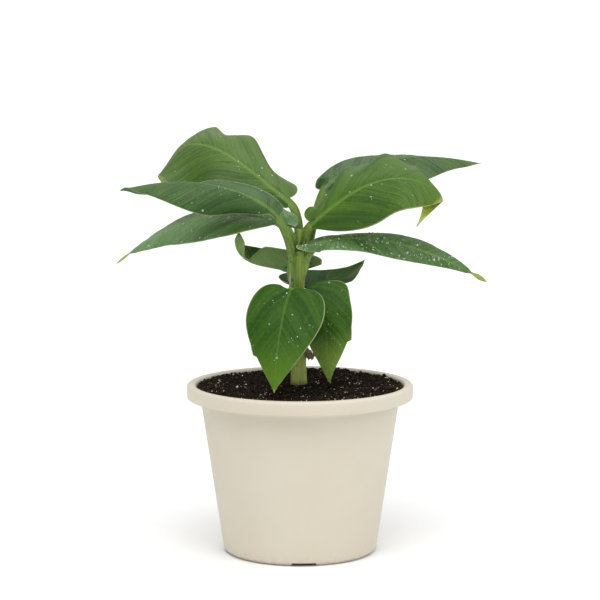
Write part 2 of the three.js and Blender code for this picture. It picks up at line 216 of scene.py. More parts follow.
# Each leaf's green.
GREENS = {
    "leaf_upper_left": (0.05, 0.122, 0.01),
    "leaf_middle_left": (0.03, 0.094, 0.014),
    "leaf_lower_left": (0.165, 0.315, 0.12),
    "leaf_rear_right": (0.04, 0.1, 0.024),
    "leaf_upper_right": (0.036, 0.11, 0.002),
    "leaf_lower_right": (0.096, 0.215, 0.055),
    "leaf_back_left": (0.07, 0.14, 0.03),
    "leaf_back_right": (0.01, 0.062, 0.0),
    "leaf_front": (0.02, 0.083, 0.001),
    "leaf_front_right": (0.019, 0.082, 0.001),
}
# The lime of a leaf's lower end where it isn't just a lighter green.
TIPS = {"leaf_front": (0.1, 0.21, 0.012), "leaf_front_right": (0.36, 0.56, 0.09)}
# The half of a leaf that catches more light (1 is left), against the other.
BRIGHT_HALF = {"leaf_upper_left": -1, "leaf_upper_right": 1, "leaf_middle_left": -1, "leaf_lower_left": -1}
# The underside of a light leaf's folded tip: yellow-green, painted lighter to make up for the shade it lies
# in.
FLAPS = {"leaf_upper_left": (0.5, 0.62, 0.16), "leaf_upper_right": (0.6, 0.7, 0.14)}
# Each leaf's skin: gloss, roughness, strength of its pale midrib, of its side veins and of its lime tip, and
# how much lighter its underside is.
SKINS = {
    "leaf_upper_left": (0.3, 0.34, 0.75, 1.1, 0.45, 1),
    "leaf_middle_left": (0.32, 0.34, 0.5, 1.1, 0.3, 1),
    "leaf_lower_left": (0.36, 0.32, 0.8, 2.0, 0.05, 1),
    "leaf_rear_right": (0.3, 0.38, 0.45, 1.1, 0.45, 1),
    "leaf_upper_right": (0.3, 0.34, 0.75, 1.1, 0.45, 1),
    "leaf_lower_right": (0.36, 0.32, 0.8, 2.0, 0.1, 1),
    "leaf_back_left": (0.14, 0.46, 0.4, 1.4, 0.3, 1.8),
    "leaf_back_right": (0.1, 0.52, 0.25, 0.8, 0.2, 1),
    "leaf_front": (0.16, 0.42, 0.25, 0.6, 0.75, 1),
    "leaf_front_right": (0.16, 0.42, 0.1, 0.6, 0.9, 1),
}

# The pot's sizes in mm: the rim's band is turned down over the wall, and the lip is its thickness.
POT = dict(
    rim_radius=95, height=142.2, rim_band=11.6, mouth_radius=87.1, neck_radius=83.6, foot_radius=64,
    foot_bevel=3.5, wall=2.4, lip=2.4, rounding=2.6,
)
# The drain notches in the pot's foot, with the azimuth of the first in degrees.
NOTCH = dict(count=4, width=22, slope=1.5, height=2.9, depth=9, azimuth=-87)
# Heights of the soil at its edge and at the stem, how far out it is level, and the radius of its edge.
SOIL = dict(edge=140.2, crown=141, flat=12)
SOIL_RIM = POT["mouth_radius"] - 0.9
# A heap behind the stem: x, y, half width, half depth and height.
HEAP = (24, 52, 24, 26, 4.6)
# The stem leans from its foot to its top, each given as x and y.
STEM = dict(
    foot=(-1.2, 0), top=(-3, 0), height=238, flare=7.2, flare_height=12, foot_radius=6.7, top_radius=6.4,
    sheaths=3,
)
# The closed sheaths between the stalks: heights, the x of their left and right and the y of their front at
# the lower and the upper end, then the y of their back.
CROTCH = dict(heights=(206, 251), left=(-7.6, -7.4), right=(2.6, 6.8), front=(-6.2, -9.2), back=4.5)
# Two strips of sheath before the stalks: heights, the x of the left and right margins at the lower and the
# upper end, the y of the front, and how deep the top is notched.
SHEATHS = {
    "cut_short": dict(heights=(232, 254.2), lefts=(-0.8, -2.9), rights=(0.4, 4.6), front=-9.8, notch=2.6),
    "inner": dict(heights=(256, 273), lefts=(-1.6, -3.6), rights=(-0.2, 3.2), front=-7.6, notch=1),
}
# The strip of dried sheath: the x, y and z of its middle at the stem, how far it reaches out, half its width
# at the stem and at its end, and its thickness.
HUSK = dict(x=3.4, y=-3.4, z=169.4, length=8.4, halves=(5.2, 4.2), thick=0.3)
# Marks on the stem's front: x, z, half width and half height in mm, 1 for pointed or 2 for round ends, where
# between middle and margin the mark is in full, its strength and its colour.
# The first three are painted shade, in a groove low on the stem, a groove high up and a gap; the last is a
# pale dry edge.
STEM_MARKS = {
    "low_groove_shade": (0, 143.5, 0.5, 5.5, 1, 0.5, 0.7, (0.05, 0.035, 0.012)),
    "high_groove_shade": (-1.2, 237, 0.9, 17, 1, 0.3, 0.4, (0.1, 0.1, 0.02)),
    "gap_shade": (-6.6, 230.6, 1.1, 1.9, 2, 0.5, 0.85, (0.035, 0.025, 0.015)),
    "edge": (-8.2, 230.5, 0.9, 6.5, 1, 0.5, 0.6, (0.4, 0.39, 0.3)),
}


# Numbers and meshes


def lerp(a, b, share):
    return a + (b - a) * share


def smooth(share):
    share = np.clip(share, 0, 1)
    return share * share * (3 - 2 * share)


def eased(value, start, end):
    """0 up to one value and 1 from another, smooth between."""
    return smooth((value - start) / (end - start))


def wander(x, wavelength, seed):
    """A smooth random line: a height from -1 to 1 at each x."""
    count = 1024
    knots = np.random.default_rng(seed).uniform(-1, 1, count)
    step = np.floor(np.asarray(x) / wavelength).astype(int)
    part = smooth(np.asarray(x) / wavelength - step)
    return lerp(knots[step % count], knots[(step + 1) % count], part)


def lumps(x, y, size, seed):
    """A smooth random surface: a height from -1 to 1 at each x, y."""
    count = 96
    knots = np.random.default_rng(seed).uniform(-1, 1, (count, count))
    column = np.floor(np.asarray(x) / size).astype(int)
    row = np.floor(np.asarray(y) / size).astype(int)
    across = smooth(np.asarray(x) / size - column)
    up = smooth(np.asarray(y) / size - row)

    def line(row):
        return lerp(knots[row % count, column % count], knots[row % count, (column + 1) % count], across)

    return lerp(line(row), line(row + 1), up)


def round_angles(count, offset=0):
    """The angles of so many equal steps round an axis."""
    return 2 * math.pi * (np.arange(count) + offset) / count


def circle(radius, height, angles):
    """Points round the pot's axis."""
    return [(radius * math.cos(a), radius * math.sin(a), height) for a in angles]


def tube_faces(rings, count):
    """Faces between closed rings of equal count, with a strip over each end."""
    here = np.arange(rings - 1)[:, None] * count + np.arange(count)[None, :]
    beside = np.arange(rings - 1)[:, None] * count + (np.arange(count)[None, :] + 1) % count
    faces = np.stack([here, beside, beside + count, here + count], -1).reshape(-1, 4).tolist()
    last = (rings - 1) * count
    for j in range(count // 2 - 1):
        under = count - 1 - j
        faces.append([j, under, under - 1, j + 1])
        faces.append([last + j, last + j + 1, last + under - 1, last + under])
    return faces


def capped_faces(rings, count):
    """Faces over a first point, closed rings of equal count and a last point."""
    faces = [[0, 1 + j, 1 + (j + 1) % count] for j in range(count)]
    for i in range(rings - 1):
        for j in range(count):
            a, b = 1 + i * count + j, 1 + i * count + (j + 1) % count
            faces.append([a, a + count, b + count, b])
    last = 1 + (rings - 1) * count
    return faces + [[last + j, last + count, last + (j + 1) % count] for j in range(count)]


def sheet(top, under):
    """Points and faces of a sheet with some thickness, from the grids of its two sides."""
    ring = np.concatenate([top, under[:, ::-1]], 1)
    return ring.reshape(-1, 3), tube_faces(*ring.shape[:2])


def both_sides(values):
    """The same values on both sides of a sheet."""
    return np.concatenate([values, values[:, ::-1]], 1)


def together(shells):
    """Points and faces of one mesh from those of several shells."""
    points, faces, total = [], [], 0
    for more, more_faces in shells:
        points.append(more)
        faces += [[total + i for i in f] for f in more_faces]
        total += len(more)
    return np.concatenate(points), faces


def piece(name, points, faces, finish, marks=None, shaded=True):
    """A mesh object from points in millimetres, with a number per point for each name in marks."""
    mesh = bpy.data.meshes.new(name)
    mesh.from_pydata((np.asarray(points, float) * MM).tolist(), [], [list(map(int, f)) for f in faces])
    mesh.validate()
    for mark, values in (marks or {}).items():
        layer = mesh.attributes.new(mark, "FLOAT", "POINT")
        layer.data.foreach_set("value", np.asarray(values, np.float32).ravel())
    if shaded:
        mesh.shade_smooth()
    mesh.materials.append(finish)
    thing = bpy.data.objects.new(name, mesh)
    bpy.context.scene.collection.objects.link(thing)
    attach(thing, "root")
    return thing


def modify(thing, name, kind, **settings):
    modifier = thing.modifiers.new(name, kind)
    for key, value in settings.items():
        setattr(modifier, key, value)


def apply_modifiers(thing, finish):
    """Bakes a piece's modifiers into a new mesh, with smooth shading and one finish."""
    graph = bpy.context.evaluated_depsgraph_get()
    mesh = bpy.data.meshes.new_from_object(thing.evaluated_get(graph))
    thing.modifiers.clear()
    thing.data = mesh
    mesh.materials.clear()
    mesh.materials.append(finish)
    mesh.shade_smooth()
    return mesh


def rows_of(items, field):
    """A vector for each item of a mesh, as the rows of an array."""
    values = np.empty(len(items) * 3)
    items.foreach_get(field, values)
    return values.reshape(-1, 3)


# Finishes


class Wire:
    """A node socket that takes part in sums."""

    def __init__(self, finish, socket):
        self.finish = finish
        self.socket = socket

    def maths(self, operation, *values):
        return self.finish.node("ShaderNodeMath", dict(operation=operation), dict(enumerate(values)))

    def __add__(self, other):
        return self.maths("ADD", self, other)

    __radd__ = __add__

    def __sub__(self, other):
        return self.maths("SUBTRACT", self, other)

    def __rsub__(self, other):
        return self.maths("SUBTRACT", other, self)

    def __mul__(self, other):
        return self.maths("MULTIPLY", self, other)

    __rmul__ = __mul__

    def __truediv__(self, other):
        return self.maths("DIVIDE", self, other)

    def __rtruediv__(self, other):
        return self.maths("DIVIDE", other, self)

    def __pow__(self, other):
        return self.maths("POWER", self, other)

    def size(self):
        return self.maths("ABSOLUTE", self)

    def ramp(self, start, end):
        """0 at start, 1 at end, eased between; the two may fall as well as rise."""
        low, high = (start, end) if start < end else (end, start)
        rising = self.finish.node(
            "ShaderNodeMapRange",
            dict(interpolation_type="SMOOTHSTEP"),
            {"Value": self, "From Min": low, "From Max": high},
        )
        return rising if start < end else 1 - rising


class Finish:
    """A material that is built node by node."""

    def __init__(self, name):
        self.material = bpy.data.materials.new(name)
        self.material.use_nodes = True
        self.tree = self.material.node_tree
        self.shader = self.tree.nodes["Principled BSDF"]

    def node(self, kind, settings=None, sockets=None, output=0):
        made = self.tree.nodes.new(kind)
        for key, value in (settings or {}).items():
            setattr(made, key, value)
        for key, value in (sockets or {}).items():
            self.feed(made.inputs[key], value)
        return Wire(self, made.outputs[output])

    def feed(self, socket, value):
        if isinstance(value, Wire):
            self.tree.links.new(value.socket, socket)
        elif socket.type == "RGBA" and len(value) == 3:
            socket.default_value = (*value, 1)
        else:
            socket.default_value = value

    def mark(self, name):
        return self.node("ShaderNodeAttribute", dict(attribute_name=name), output="Fac")

    def place(self):
        return self.node("ShaderNodeTexCoord", output="Object")

    def coordinates(self, where):
        """The x, y and z of a place."""
        return [self.node("ShaderNodeSeparateXYZ", sockets={0: where}, output=i) for i in range(3)]

    def vector(self, x, y, z):
        return self.node("ShaderNodeCombineXYZ", sockets={"X": x, "Y": y, "Z": z})

    def noise(self, where, scale, detail=4, roughness=0.55):
        """Cloudy noise; scale counts features per unit of its coordinates."""
        return self.node(
            "ShaderNodeTexNoise",
            sockets={"Vector": where, "Scale": scale, "Detail": detail, "Roughness": roughness},
        )

    def cells(self, where, scale):
        return self.node("ShaderNodeTexVoronoi", dict(feature="F1"), {"Vector": where, "Scale": scale})

    def mix(self, share, first, second):
        return self.node(
            "ShaderNodeMix",
            dict(data_type="RGBA", blend_type="MIX", clamp_factor=True),
            {0: share, 6: first, 7: second},
            output=2,
        )

    def layers(self, color, *others):
        """A colour with others laid over it in turn, each given as a share and a colour."""
        for share, other in others:
            color = self.mix(share, color, other)
        return color

    def bump(self, *reliefs):
        """A normal from one or more heights that run from 0 to 1, each with its depth in metres."""
        normal = None
        for height, depth in reliefs:
            sockets = {"Height": height, "Distance": depth, "Strength": 1.0}
            if normal is not None:
                sockets["Normal"] = normal
            normal = self.node("ShaderNodeBump", sockets=sockets)
        return normal

    def set(self, **sockets):
        for key, value in sockets.items():
            self.feed(self.shader.inputs[key.replace("_", " ")], value)
        return self.material


class LeafFinish(Finish):
    """A leaf's material, with the marks on its mesh and the noises that its layers share."""

    def __init__(self, name):
        super().__init__(name + "_green")
        self.along, self.across, self.below = self.mark("along"), self.mark("across"), self.mark("below")
        self.vein, self.reach = self.mark("vein"), self.mark("reach")
        self.out = self.across.size()
        self.spot = self.place()
        self.broad = self.stripes(0.07, 0.014, 3)
        self.ribbing = self.stripes(0.2, 0.015, 2, 0.6)
        self.fine = self.stripes(0.55, 0.02)
        self.cloud = self.noise(self.spot, 28, 4)
        self.blotch = self.noise(self.spot, 90, 5, 0.65)
        self.mottle = self.noise(self.spot, 330, 3, 0.7)

    def stripes(self, per_mm, out_per_mm, detail=2, roughness=0.5, layer=0.0):
        """Noise drawn out along the side veins; the first two count features per mm over and along them."""
        where = self.vector(self.vein * per_mm, self.reach * out_per_mm, layer)
        return self.noise(where, 1.0, detail, roughness)


def tint(green, scale, lift=(0, 0, 0)):
    """A green with its red, green and blue scaled and lifted."""
    return tuple(part * by + more for part, by, more in zip(green, scale, lift))


def blade_top(made, name, green, young, veins, lime):
    """The top of a blade: vein stripes, mottling, painted sheen and shade, a lime end and a pale tip."""
    along, broad, fine, ribbing, mottle = made.along, made.broad, made.fine, made.ribbing, made.mottle
    tip = TIPS.get(name, tint(green, (1.9, 1.7, 1.1), (0.025, 0, 0)))
    clouded = 0.05 if name in TIPS or name in SPEARS else 0.3
    ribbed = 0.3 if name in BRIGHT_HALF else min(0.5, 0.45 * veins)
    # Broad stripes, ribbing and mottle are partly the leaf's own streaky green and partly painted sheen in
    # their lighter grey-blue tones; the ribbing's darker tone is painted shade in the pleats.
    color = made.layers(
        tint(green, (0.62, 0.74, 0.55)),
        (broad.ramp(0.35, 0.62) * min(1, veins), tint(green, (1.5, 1.32, 1.7), (0.006, 0, 0.004))),
        (made.cloud.ramp(0.42, 0.72) * clouded, tip),
        (fine.ramp(0.52, 0.72) * (0.2 * veins), young),
        (fine.ramp(0.46, 0.3) * (0.36 * veins), tint(green, (0.5, 0.6, 0.5))),
        (ribbing.ramp(0.49, 0.62) * ribbed, tint(green, (1.8, 1.6, 2), (0.035, 0, 0.01))),
        (ribbing.ramp(0.49, 0.36) * ribbed, tint(green, (0.45, 0.56, 0.4))),
        (mottle.ramp(0.52, 0.68) * 0.42, tint(green, (1.5, 1.4, 1.7), (0.02, 0.01, 0.01))),
        (mottle.ramp(0.46, 0.32) * 0.5, tint(green, (0.6, 0.64, 0.6))),
        (made.blotch.ramp(0.6, 0.8) * 0.1, (0.12, 0.16, 0.03)),
    )
    if name in BRIGHT_HALF:
        # Painted light and shade: the BRIGHT_HALF side is painted a lighter grey-green, and the other half
        # darker towards the blade's foot.
        lit = (made.across * BRIGHT_HALF[name]).ramp(-0.15, 0.3)
        deep = (1 - lit) * along.ramp(0.75, 0.15) * made.out.ramp(0.1, 0.8)
        # Long streaks along the side veins painted lighter and darker, as painted sheen.
        painted_sheen = made.stripes(0.045, 0.012, layer=4.0)
        color = made.layers(
            color,
            (lit * 0.5, tint(green, (1.7, 1.5, 2), (0.02, 0, 0.02))),
            (deep * (1 if name == "leaf_upper_left" else 0.6), tint(green, (0.45, 0.6, 0))),
            (painted_sheen.ramp(0.52, 0.66) * 0.55, tint(green, (2, 1.65, 2), (0.035, 0, 0.035))),
            (painted_sheen.ramp(0.46, 0.34) * 0.5, tint(green, (0.45, 0.58, 0.35))),
        )
    color = made.mix(along.ramp(0.45 if name in TIPS else 0.6, 1.0) * lime, color, tip)
    if name not in SPEARS:
        return made.mix(along.ramp(0.955, 1.0) * 0.85, color, (0.42, 0.48, 0.13))
    return made.layers(
        color,
        (along.ramp(0.25, 0.75) * 0.6, tint(green, (0.42, 0.5, 0.3))),
        (along.ramp(0.14, 0.04) * 0.65, tint(green, (0.4, 0.48, 0.35))),
        (along.ramp(0.89, 0.92) * 0.85, (0.34, 0.4, 0.1)),
    )


def blade_underside(made, name, green, young, paler):
    """The dull grey-green underside; yellow-green, painted lighter against its shade, where the tip of an
    upper leaf folds over.
    """
    dull = tuple(paler * part for part in tint(green, (1.1, 0.95, 1.2), (0.035, 0.045, 0.028)))
    color = made.layers(
        dull,
        (made.broad.ramp(0.3, 0.7) * 0.5, made.mix(0.5, dull, young)),
        (made.fine.ramp(0.55, 0.7) * 0.3, (0.19, 0.24, 0.12)),
    )
    return made.mix(made.along.ramp(0.6, 0.85), color, FLAPS[name]) if name in FLAPS else color


def leaf_finish(name):
    """A banana leaf: parallel side veins, pale midrib and margin, and a dull grey-green underside."""
    made = LeafFinish(name)
    gloss, rough, pale_rib, veins, lime, paler = SKINS[name]
    green = GREENS[name]
    young = (0.13, 0.25, 0.035) if name in LIGHT_LEAVES else (0.17, 0.27, 0.07)
    along, across, below, fine = made.along, made.across, made.below, made.fine
    top = blade_top(made, name, green, young, veins, lime)
    color = made.mix(below, top, blade_underside(made, name, green, young, paler))
    if name in HOOKS:
        # The folded point takes the flap colour too: yellow-green painted lighter against shade.
        color = made.mix(across.ramp(0.4, 0.65) * along.ramp(0.88, 0.92), color, FLAPS[name])
    if name == "leaf_back_right":
        turned_up = (across * -1).ramp(0.05, 0.5) * along.ramp(0.55, 0.85)
        greyer = made.mix(fine.ramp(0.4, 0.6), (0.1, 0.14, 0.06), (0.17, 0.2, 0.1))
        color = made.mix(turned_up * 0.75, color, greyer)
    rib = (made.reach / made.mark("rib")).ramp(1.0, 0.3)
    stalk_green = made.mix(fine.ramp(0.4, 0.6), (0.12, 0.2, 0.03), (0.18, 0.27, 0.05))
    edge = made.out.ramp(0.965, 0.992) * along.ramp(-0.001, 0.03)
    color = made.layers(
        color,
        (rib * along.ramp(1.0, 0.7) * pale_rib, young),
        (along.ramp(0.02, -0.01) * 0.75, stalk_green),
        (edge * 0.7, (0.4, 0.5, 0.22)),
    )
    if name == "leaf_upper_right":
        # A painted highlight: a pale band along one margin of the upper right leaf's top.
        painted_rim_highlight = across.ramp(0.9, 0.96) * along.ramp(0.45, 0.55) * (1 - below)
        color = made.mix(painted_rim_highlight * 0.7, color, (0.42, 0.52, 0.26))
    dry = edge * made.noise(made.spot, 160, 3).ramp(0.58, 0.68)
    return made.set(
        Base_Color=made.mix(dry * 0.7, color, (0.22, 0.14, 0.05)),
        Roughness=rough + made.blotch * 0.16 + below * 0.2 + rib * 0.05,
        Normal=made.bump(
            (made.stripes(0.7, 0.02), 0.00035), (made.ribbing, 0.0017 * min(1, veins)), (made.mottle, 0.0005)
        ),
        Specular_IOR_Level=gloss,
    )


def stem_finish():
    """Waxy leaf sheaths: green and streaked lengthwise, pale yellow low down and brown at the soil."""
    made = Finish("pseudostem_sheaths")
    place = made.place()
    x, y, z = made.coordinates(place)
    streak = made.noise(made.vector(x * 700, y * 700, z * 18), 1.0, 3, 0.6)
    soft = made.noise(made.vector(x * 160, y * 160, z * 14), 1.0, 3, 0.5)
    fleck = made.noise(place, 420, 4, 0.6)
    low = z.ramp(0.2, 0.148)
    color = made.layers(
        (0.085, 0.16, 0.013),
        (soft.ramp(0.35, 0.65), (0.16, 0.245, 0.03)),
        (streak.ramp(0.5, 0.72) * 0.35, (0.25, 0.32, 0.07)),
        (streak.ramp(0.5, 0.3) * 0.35, (0.04, 0.085, 0.006)),
        (low * 0.85, made.mix(soft.ramp(0.3, 0.7), (0.33, 0.43, 0.065), (0.52, 0.58, 0.16))),
        (low * fleck.ramp(0.56, 0.7) * 0.3, (0.14, 0.1, 0.035)),
        (z.ramp(0.147, 0.1415) * 0.6, (0.07, 0.05, 0.025)),
        (fleck.ramp(0.66, 0.74) * 0.4, (0.09, 0.065, 0.03)),
    )
    front = y.ramp(0.0, -0.004)
    # Painted shade in two grooves and a gap on the stem's front, and a pale dry edge.
    for right, up, wide, high, power, fades, strength, over in STEM_MARKS.values():
        from_middle = ((x - right * MM) / (wide * MM)).size() ** power
        near = from_middle + ((z - up * MM) / (high * MM)) ** 2
        color = made.mix(front * near.ramp(1.0, fades) * strength, color, over)
    return made.set(
        Base_Color=color, Roughness=0.38 + streak * 0.2, Normal=made.bump((streak, 0.0004), (fleck, 0.0001)),
        Coat_Weight=0.05, Coat_Roughness=0.25, Specular_IOR_Level=0.35,
    )


def pot_finish():
    """Satin cream plastic, a little warmer and duller in faint clouds, with scuffs near the foot."""
    made = Finish("pot_cream_plastic")
    place = made.place()
    z = made.coordinates(place)[2]
    cloud = made.noise(place, 14, 4)
    grain = made.noise(place, 1600, 2)
    dust = made.noise(place, 260, 5, 0.7)
    dusty = (0.4, 0.34, 0.25)
    color = made.layers(
        (0.655, 0.605, 0.495),
        (cloud.ramp(0.35, 0.7), (0.635, 0.58, 0.465)),
        (dust.ramp(0.62, 0.78) * 0.16, dusty),
        (z.ramp(0.012, 0.0) * dust.ramp(0.45, 0.7) * 0.45, dusty),
    )
    return made.set(
        Base_Color=color, Roughness=0.4 + cloud * 0.12 + dust * 0.06,
        Normal=made.bump((grain, 0.00006), (cloud, 0.0006)), Specular_IOR_Level=0.45,
    )


def soil_finish():
    """Damp dark potting soil, with lighter fibres in it."""
    made = Finish("potting_soil")
    place = made.place()
    clod = made.noise(place, 160, 6, 0.7)
    grit = made.cells(place, 420)
    color = made.layers(
        (0.007, 0.0045, 0.0028),
        (clod.ramp(0.35, 0.65), (0.024, 0.015, 0.009)),
        (grit.ramp(0.3, 0.05) * clod.ramp(0.5, 0.66) * 0.6, (0.075, 0.048, 0.027)),
        (made.noise(place, 700, 3).ramp(0.64, 0.72) * 0.7, (0.2, 0.15, 0.1)),
    )
    return made.set(
        Base_Color=color, Roughness=0.82 + clod * 0.16, Normal=made.bump((clod, 0.0012), (grit, 0.0008)),
        Specular_IOR_Level=0.12,
    )


def speck_finish():
    """Bits of perlite and dry bark."""
    made = Finish("pale_specks")
    place = made.place()
    tone = made.noise(place, 60, 2)
    color = made.mix(tone.ramp(0.44, 0.58), (0.26, 0.2, 0.14), (0.8, 0.74, 0.64))
    normal = made.bump((made.noise(place, 1500, 3), 0.0003))
    return made.set(Base_Color=color, Roughness=0.8 + tone * 0.15, Normal=normal)


def husk_finish():
    """A dried leaf sheath: brownish grey and fibrous, orange where it tears off."""
    made = Finish("dry_sheath_fibre")
    place = made.place()
    along, across = made.mark("along"), made.mark("across")
    fibre = made.noise(made.vector(across * 9, along * 1.2, 0.0), 1.0, 4, 0.7)
    spot = made.noise(place, 500, 3)
    color = made.layers(
        (0.15, 0.11, 0.055),
        (fibre.ramp(0.35, 0.65), (0.42, 0.34, 0.19)),
        (spot.ramp(0.55, 0.7) * 0.5, (0.05, 0.035, 0.022)),
        (along.ramp(0.22, 0.0) * 0.8, (0.38, 0.19, 0.05)),
    )
    return made.set(Base_Color=color, Roughness=0.7 + fibre * 0.2, Normal=made.bump((fibre, 0.0006)))


def drop_finish():
    """Clear water with a greyish green tint, and whitish patches that are painted highlights."""
    made = Finish("water")
    ripple = made.noise(made.place(), 700, 1)
    # Whitish patches in the colour are painted highlights.
    color = made.mix(ripple.ramp(0.4, 0.6), (0.3, 0.4, 0.26), (0.8, 0.88, 0.76))
    return made.set(
        Base_Color=color, Roughness=0.04, Alpha=0.5 + ripple * 0.15, Specular_IOR_Level=0.9,
        Coat_Weight=0.8, Coat_Roughness=0.03,
    )


# Leaves


def shares(leaf, along):
    """How far each distance is along the stalk and along the blade, from 0 to 1."""
    return np.clip(along / leaf["stalk"], 0, 1), np.clip((along - leaf["stalk"]) / leaf["blade"], 0, 1)


def heading(name, leaf, along):
    """The way the centre line points at each distance along it: azimuth and elevation in degrees."""
    on_stalk, on_blade = shares(leaf, along)
    azimuth = leaf["azimuth"] + leaf["turn"] * on_stalk + leaf["swing"] * on_blade
    droop, arch = SLOPES.get(name, (leaf["droop"], leaf["arch"]))
    stalk_rise = lerp(leaf["rise"], leaf["lift"], on_stalk ** leaf["spring"])
    blade_rise = lerp(leaf["lift"], droop, on_blade**arch)
    return azimuth, np.where(along < leaf["stalk"], stalk_rise, blade_rise)


def axes_at(name, leaf, along):
    """Forwards, left and up at each distance along the centre line, as rows."""
    azimuth, elevation = (np.radians(a) for a in heading(name, leaf, along))
    level = np.stack([np.cos(azimuth), np.sin(azimuth), 0 * azimuth], -1)
    flat_left = np.stack([-np.sin(azimuth), np.cos(azimuth), 0 * azimuth], -1)
    sky = np.array([0.0, 0.0, 1.0])
    forward = level * np.cos(elevation)[:, None] + sky * np.sin(elevation)[:, None]
    flat_up = np.cross(forward, flat_left)
    on_stalk, on_blade = shares(leaf, along)
    roll = np.radians(lerp(*leaf["roll"], on_blade) * on_stalk)[:, None]
    left = flat_left * np.cos(roll) + flat_up * np.sin(roll)
    return forward, left, np.cross(forward, left)


def centre_line(name, leaf, along):
    """Where the midrib's upper side lies at each distance along it, marched there in short steps."""
    marches = 240
    step = (leaf["stalk"] + leaf["blade"]) / marches
    forward = axes_at(name, leaf, (np.arange(marches) + 0.5) * step)[0]
    points = np.vstack([leaf["root"], np.array(leaf["root"]) + np.cumsum(forward * step, 0)])
    i = np.clip(np.floor(along / step).astype(int), 0, marches - 1)
    *shift, faded = SHIFTS.get(name, (0, 0, 0, 1))
    moved = 1 - eased(along / leaf["stalk"], 0.35, faded)
    return lerp(points[i], points[i + 1], (along / step - i)[:, None]) + moved[:, None] * np.array(shift)


def half_width(leaf, share):
    """Half the width of a plain blade: a smaller foot or taper makes that end blunter."""
    foot, taper = leaf["foot"], leaf["taper"]
    peak = (foot / (foot + taper)) ** foot * (taper / (foot + taper)) ** taper
    return leaf["width"] / 2 * share**foot * (1 - share) ** taper / peak


def leaf_rows(leaf, start):
    """Distances along the centre line for the cross-sections, closest at the blade's foot."""
    stalk = np.linspace(start, leaf["stalk"], max(6, int((leaf["stalk"] - start) / 1.6)), endpoint=False)
    even = np.linspace(0, 1, int(leaf["blade"] / ROW_GAP) + 1)
    blade = leaf["stalk"] + leaf["blade"] * lerp(even**2.2, even, 0.16)
    return np.concatenate([stalk, blade])


def cross_sections(name, leaf):
    """Distance, share of the blade, and half widths of midrib, slimmest leaf and leaf per cross-section."""
    start = leaf["stub"] - OVERLAP
    along = leaf_rows(leaf, start)
    on_stalk, share = shares(leaf, along)
    on_blade = along >= leaf["stalk"]
    rib = leaf["rib"] * lerp(STALK_SWELL, 1, on_stalk)
    rib = np.where(on_blade, lerp(leaf["rib"], TIP_RIB, share**0.8), rib)
    # The leaf's own end slips inside the stub that the stem carries.
    rib = rib * lerp(0.93, 1, smooth((along - start) / 1.5))
    slim = SLIM * rib
    half = np.maximum(slim, np.where(share > 0, half_width(leaf, share), 0))
    if name in SPEARS:
        begin, size = SPEARS[name]
        spear = np.sin(math.pi * np.clip((share - begin) / (1 - begin), 0, 1)) ** 0.8 * size
        half = np.maximum(half * lerp(1, 0.35, eased(share, begin - 0.03, begin + 0.01)), spear)
        slim = np.minimum(slim, half)
        rib = np.minimum(rib, half / SLIM)
    half = half * lerp(1, 0.3, eased(share, 0.985, 1))
    return along, share, rib, slim, half


def outline(name, leaf, side, share, slim, plain):
    """One half's width with its ear and its round lobe, and what the ear does to the margin.

    That is how far the half has joined its plain outline, and how far the ear sweeps back and rises in mm.
    """
    half, joined, swept, raised = plain, 1 + 0 * share, 0 * share, 0 * share
    if side in EARS.get(name, {}):
        starts, wide, sweep, rise, round_end, plain_from = EARS[name][side]
        since = np.maximum(0, share - starts)
        turn = math.pi * np.clip(since / round_end, 0, 1)
        joined = smooth(since / plain_from)
        half = lerp(wide / 2 * (1 - np.cos(turn)), plain, joined)
        half = np.maximum(slim, np.where(share > starts, half, 0))
        swept = sweep * np.sin(turn) + since * leaf["blade"] * (1 - joined)
        raised = rise * np.sin(turn)
    if name in GAPS and GAPS[name][0] == side:
        rounds, ends, whole = GAPS[name][1:]
        lobe = np.sqrt(1 - np.clip((share - rounds) / (ends - rounds), 0, 1) ** 2)
        gap = (1 - lobe) * (1 - eased(share, ends, whole))
        half = np.maximum(slim, half * (1 - gap))
    return half, joined, swept, raised


def fold_and_curl(name, leaf, side, share):
    """The angle at which one half leaves the midrib, and how far it curls on its way out, in radians."""
    curled, more, shut, opened = CURLS.get(name, (0, 0, 0, 1))
    curl = leaf["curl"][0 if side > 0 else 1] + (curled == side) * more * eased(share, shut, opened)
    folded, at_foot, at_tip, shut, opened = FOLDS.get(name, (0, 0, 0, 0, 1))
    fold = leaf["fold"] + (folded == side) * lerp(at_foot, at_tip, eased(share, shut, opened))
    return np.radians(fold), np.radians(curl)


def ripple(leaf, side, share):
    """How far the waves of one margin rise and fall, in mm."""
    left_wave, right_wave, waves, phase = leaf["wave"]
    high, later = (left_wave, 0) if side > 0 else (right_wave, 0.37)
    turns = waves * share + phase + later
    return high * np.sin(2 * math.pi * turns) * np.sin(math.pi * share).clip(0) ** 0.7


def bell(leaf, share, at, long):
    """A soft bump along the blade, so many mm long, that is gone at the very tip."""
    return np.exp(-(((share - at) * leaf["blade"] / (long / 2)) ** 2)) * smooth((1 - share) * 40)


def heave(name, side, distance, reach, vein, part):
    """How far the skin rises in pleats along the side veins and in soft swells, in mm."""
    seed = list(LEAVES).index(name)
    pleat = 0.2 * wander(vein + 7, 6.5, seed + 2 + side) + 0.1 * wander(vein, 2.9, seed + 9 + side)
    swell = 0.9 * wander(distance, 21, seed + 20 + side) * part**2
    swell = swell + 0.5 * lumps(distance + 60, reach + 60 * side + 80, 17, seed + 30)
    return pleat * min(1, SKINS[name][3]) ** 3 + swell


